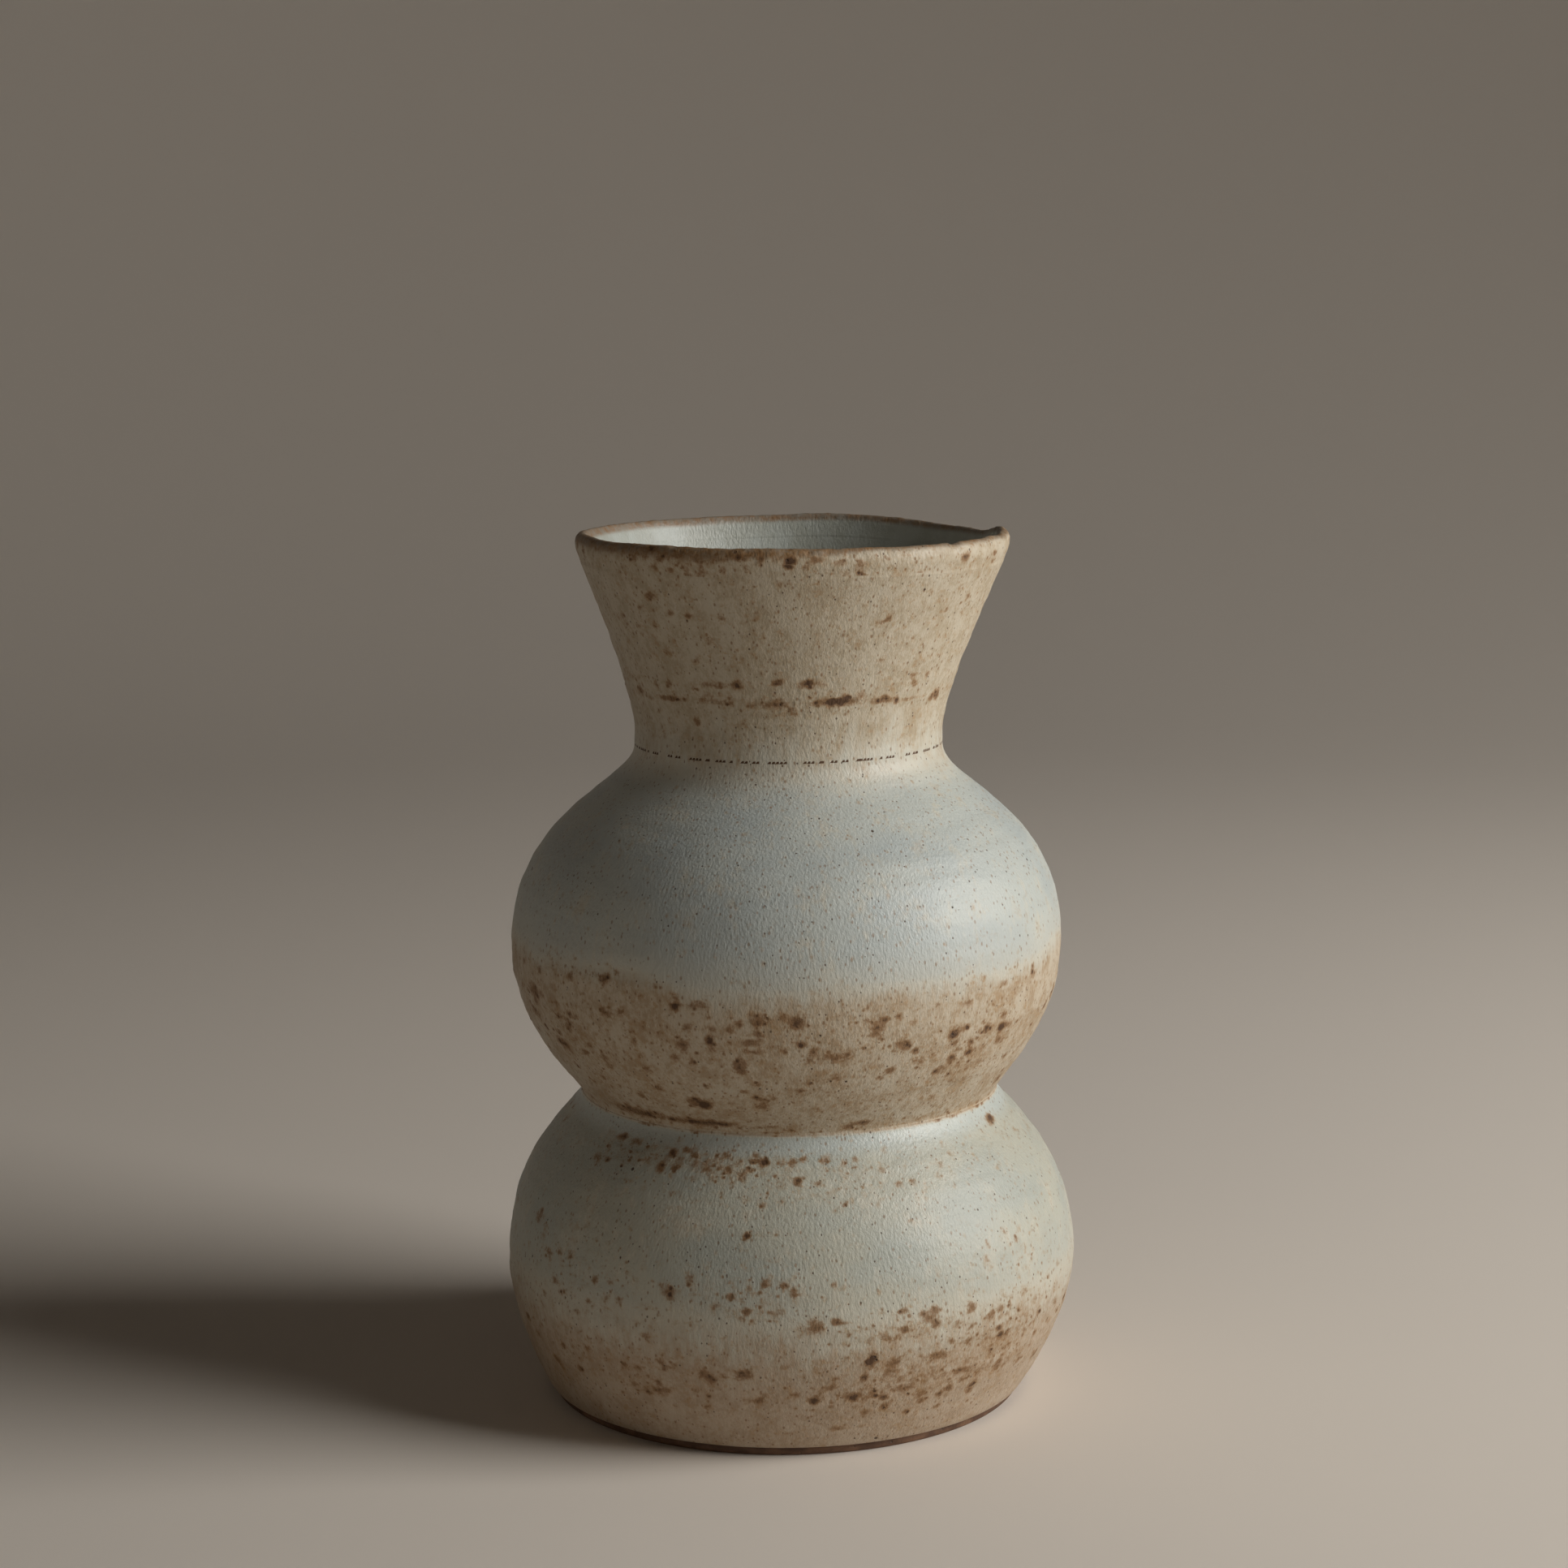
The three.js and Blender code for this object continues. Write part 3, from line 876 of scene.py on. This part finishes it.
def makeGlaze(name, colours):
    material, wires, shader = startMaterial(name)
    ironPaint = painted(wires, "iron")
    tanPaint = painted(wires, "tan")
    poolPaint = painted(wires, "pool")
    insidePaint = painted(wires, "inside")
    crownPaint = painted(wires, "crown")

    broad = noise(wires, 26, 16, 2)
    cloudy = noise(wires, 7, 9, 3, 0.55, 3)
    runs = noise(wires, 1.5, 6, 2, 0.55, 7)
    fine = noise(wires, 0.5, 0.9, 2, 0.6, 11)
    ragged = noise(wires, 2.2, 1.7, 3, 0.6, 5)
    grain = noise(wires, 0.7, 1.5, 2, 0.55, 13)

    # The grey glaze: cool where it lies even, warm where it has run thin
    grey = blend(wires, broad.above(0.38, 0.62), colours["greyCool"], colours["grey"])
    warmth = (0.55 * cloudy + 0.45 * runs).above(0.5, 0.66)
    warmth = warmth * (0.5 + 0.5 * broad.above(0.35, 0.65))
    grey = blend(wires, 0.65 * warmth, grey, colours["greyWarm"])
    grey = blend(wires, 0.75 * tanPaint.above(0, 0.26), grey, colours["greyWarm"])
    grey = blend(wires, 0.35 * fine.above(0.55, 0.75), grey, colours["pool"])

    # The tan zone, its edge broken up by the runs
    edge = tanPaint + (1.0 * (runs - 0.5) + 0.8 * (cloudy - 0.5)) * tanPaint.above(0.1, 0.4)
    edge = edge.above(0.05, 0.95)
    mottled = noise(wires, 1.8, 2.2, 3, 0.6, 17)
    deepen = (0.4 * cloudy + 0.4 * mottled + 0.2 * fine).above(0.42, 0.6)
    tan = blend(wires, 0.85 * deepen, colours["tan"], colours["tanDeep"])
    colour = blend(wires, edge, grey, tan)
    colour = blend(wires, poolPaint * (0.7 + 0.6 * (runs - 0.5)), colour, colours["pool"])

    # Ochre mottles and fine specks all over
    mottle = (ragged - 0.5 + 0.5 * (cloudy - 0.5)).above(0.08, 0.24) * (1 - 0.8 * poolPaint)
    colour = blend(wires, 0.5 * mottle * (0.4 + 0.6 * tanPaint), colour, colours["ochre"])
    brownSpecks = specks(wires, 1.3, 0.8, 0.24, 0.1, 1, 1.7)
    darkSpecks = specks(wires, 1.6, 0.45, 0.16, 0.05, 4, 1.2)
    ochreSpecks = specks(wires, 2.3, 0.5, 0.25, 0.18, 8, 1.3) * ragged.above(0.42, 0.6)
    colour = blend(wires, 0.55 * ochreSpecks, colour, colours["ochre"])
    colour = blend(wires, (0.58 + 0.17 * tanPaint) * brownSpecks, colour, colours["rust"])
    colour = blend(wires, 0.8 * darkSpecks, colour, colours["iron"])

    # The lining and the crown of the lip
    lining = blend(wires, 0.5 * cloudy.above(0.4, 0.65), colours["lining"], colours["grey"])
    colour = blend(wires, insidePaint, colour, lining)
    crown = blend(wires, ragged.above(0.4, 0.6), colours["crown"], colours["rust"])
    colour = blend(wires, crownPaint * (0.75 + 0.8 * (ragged - 0.5)), colour, crown)

    # Iron burning through: a rust halo, then a nearly black heart
    blots = specks(wires, 4.2, 0.6, 0.3, 0.3, 41, 0.85)
    dots = specks(wires, 2.1, 0.5, 0.24, 0.24, 47, 0.9)
    spread = ironPaint + (0.58 * blots + 0.5 * dots - 0.12) * ironPaint.above(0.1, 0.36)
    burn = spread + (0.95 * (ragged - 0.5) + 0.45 * (fine - 0.5)) * ironPaint.above(0.02, 0.25)
    glow = burn.above(0.2, 0.6)
    halo = burn.above(0.4, 0.78)
    heart = burn.above(0.72, 1.06)
    colour = blend(wires, 0.4 * glow, colour, colours["ochre"])
    colour = blend(wires, 0.85 * halo, colour, colours["rust"])
    colour = blend(wires, 0.92 * heart, colour, colours["iron"])

    # Pinholes: a few anywhere, more of them where iron has boiled through
    pits = specks(wires, 6.5, 0.10, 0.075, 0.012, 21)
    boils = specks(wires, 2.1, 0.5, 0.17, 0.05, 31) * halo
    colour = blend(wires, 0.9 * pits, colour, colours["iron"])
    colour = blend(wires, 0.85 * boils, colour, clayColours["grog"])

    roughness = glazeFinish["roughness"] + (glazeFinish["ironRoughness"] - glazeFinish["roughness"]) * heart
    roughness = roughness + 0.16 * (fine - 0.5) - 0.06 * poolPaint + 0.08 * edge
    relief = grain + 0.45 * fine - 0.5 * heart - 2.2 * pits - 0.3 * darkSpecks - 0.8 * boils
    bump = {"Height": relief, "Distance": glazeFinish["grainDepth"], "Strength": 1}
    feed(wires, shader, {
        "Base Color": colour,
        "Roughness": roughness,
        "Normal": wires.make("Bump", {}, bump),
        "Specular IOR Level": glazeFinish["specular"],
    })
    return material


# Unglazed stoneware: burnt brown, with a faint fired sheen and coarse grog
def makeBareClay():
    material, wires, shader = startMaterial("bareClay")
    cloudy = noise(wires, 6, 3, 3)
    sandy = noise(wires, 0.7, 0.7, 3, 0.65, 2)
    grog = specks(wires, 1.6, 0.3, 0.2, 0.06, 6)
    place = wires.make("TexCoord", {}, {}, "Object")
    height = wires.make("SeparateXYZ", {}, {"Vector": place}, "Z")
    underside = height.below(0.05 * mm, 0.5 * mm)
    colour = blend(wires, cloudy.above(0.4, 0.62), clayColours["bare"], clayColours["worn"])
    colour = blend(wires, 0.6 * underside, colour, clayColours["worn"])
    colour = blend(wires, 0.7 * grog, colour, clayColours["grog"])
    relief = sandy - 0.6 * grog
    feed(wires, shader, {
        "Base Color": colour,
        "Roughness": 0.42 + 0.2 * sandy + 0.2 * underside,
        "Normal": wires.make("Bump", {}, {"Height": relief, "Distance": 0.15 * mm}),
    })
    return material


bareClay = makeBareClay()
glazes = {
    "lower": makeGlaze("lowerGlaze", lowerGlaze),
    "upper": makeGlaze("upperGlaze", upperGlaze),
    "neck": makeGlaze("neckGlaze", neckGlaze),
}

finishPiece(pieces["base_disc"], "base_disc", "bare_clay", bareClay, glazes["lower"])
finishPiece(pieces["base_slip"], "base_slip", "joining_slip", bareClay)
finishPiece(pieces["floor_coil"], "floor_coil", "lower_glaze", glazes["lower"])
finishPiece(pieces["lower_bulb"], "lower_bulb", "lower_glaze", glazes["lower"])
finishPiece(pieces["waist_slip"], "waist_slip", "joining_slip", glazes["upper"])
finishPiece(pieces["upper_bulb"], "upper_bulb", "upper_glaze", glazes["upper"])
finishPiece(pieces["neck_slip"], "neck_slip", "joining_slip", glazes["neck"])
finishPiece(pieces["flared_neck"], "flared_neck", "neck_glaze", glazes["neck"])
finishPiece(pieces["lip_slip"], "lip_slip", "joining_slip", glazes["neck"])
finishPiece(pieces["lip_coil"], "lip_coil", "lip_glaze", glazes["neck"])
for polygon in pieces["base_disc"].data.polygons:
    if polygon.center.z > 6 * mm:
        polygon.material_index = 1
print("materials on")


studio = {
    "floorRadius": 2.7,
    "wallHeight": 1.9,
    "sweepRadius": 1.6,
    "floorColour": (0.78, 0.715, 0.64),
    "cameraPlace": (-1.1 * mm, -825.3 * mm, 286 * mm),
    "cameraDown": 8.97,
    "cameraRoll": -0.41,
    "lens": 75.6,
    "sensor": 36,
    "ambient": 0.006,
}


# A pale round floor that curves up into a pale wall on every side
def makeFloor():
    reach = studio["floorRadius"]
    sweep = studio["sweepRadius"]
    pull = 0.55 * sweep
    profile = newProfile("studioFloor")
    addLine(profile, (0, 0), (reach - sweep, 0), 8)
    addArc(profile, (reach - sweep, 0), (pull, 0), (reach, sweep), (0, pull), 24)
    addLine(profile, (reach, sweep), (reach, studio["wallHeight"]), 2)
    floor = turnPiece(profile, 128)
    material, wires, shader = startMaterial("paleFloor")
    feed(wires, shader, {"Base Color": (*studio["floorColour"], 1), "Roughness": 0.85})
    floor.data.materials.append(material)


# Area lights: azimuth and elevation of where it hangs, distance, width, height, watts, colour
lamps = {
    "keyWindow": (75.5, 24, 1.5, 0.9, 0.9, 23.5, (1.0, 0.98, 0.945)),
    "warmFill": (-75, 10, 1.6, 1.4, 1.2, 0.15, (1.0, 0.68, 0.42)),
}


def makeLamp(name, azimuth, elevation, distance, width, height, watts, colour):
    target = Vector((0, 0, topZ / 2))
    flat = distance * math.cos(math.radians(elevation))
    place = target + around(azimuth, flat, distance * math.sin(math.radians(elevation)))
    deselectAll()
    bpy.ops.object.light_add(type="AREA", location=place)
    lamp = bpy.context.object
    lamp.name = name
    lamp.rotation_euler = (place - target).to_track_quat("Z", "Y").to_euler()
    lamp.data.shape = "RECTANGLE"
    lamp.data.size = width
    lamp.data.size_y = height
    lamp.data.energy = watts
    lamp.data.color = colour
    lamp.visible_camera = False


def makeCamera():
    deselectAll()
    bpy.ops.object.camera_add(location=studio["cameraPlace"])
    camera = bpy.context.object
    camera.rotation_mode = "ZYX"
    tilt = math.radians(90 - studio["cameraDown"])
    camera.rotation_euler = (tilt, 0, math.radians(studio["cameraRoll"]))
    camera.data.lens = studio["lens"]
    camera.data.sensor_width = studio["sensor"]
    bpy.context.scene.camera = camera


def makeWorld():
    world = bpy.data.worlds.new("studioAir")
    world.use_nodes = True
    sky = world.node_tree.nodes["Background"]
    sky.inputs["Color"].default_value = (1, 0.97, 0.93, 1)
    sky.inputs["Strength"].default_value = studio["ambient"]
    bpy.context.scene.world = world


makeFloor()
for name, settings in lamps.items():
    makeLamp(name, *settings)
makeCamera()
makeWorld()
bpy.context.scene.view_settings.view_transform = "Standard"
print("studio ready")
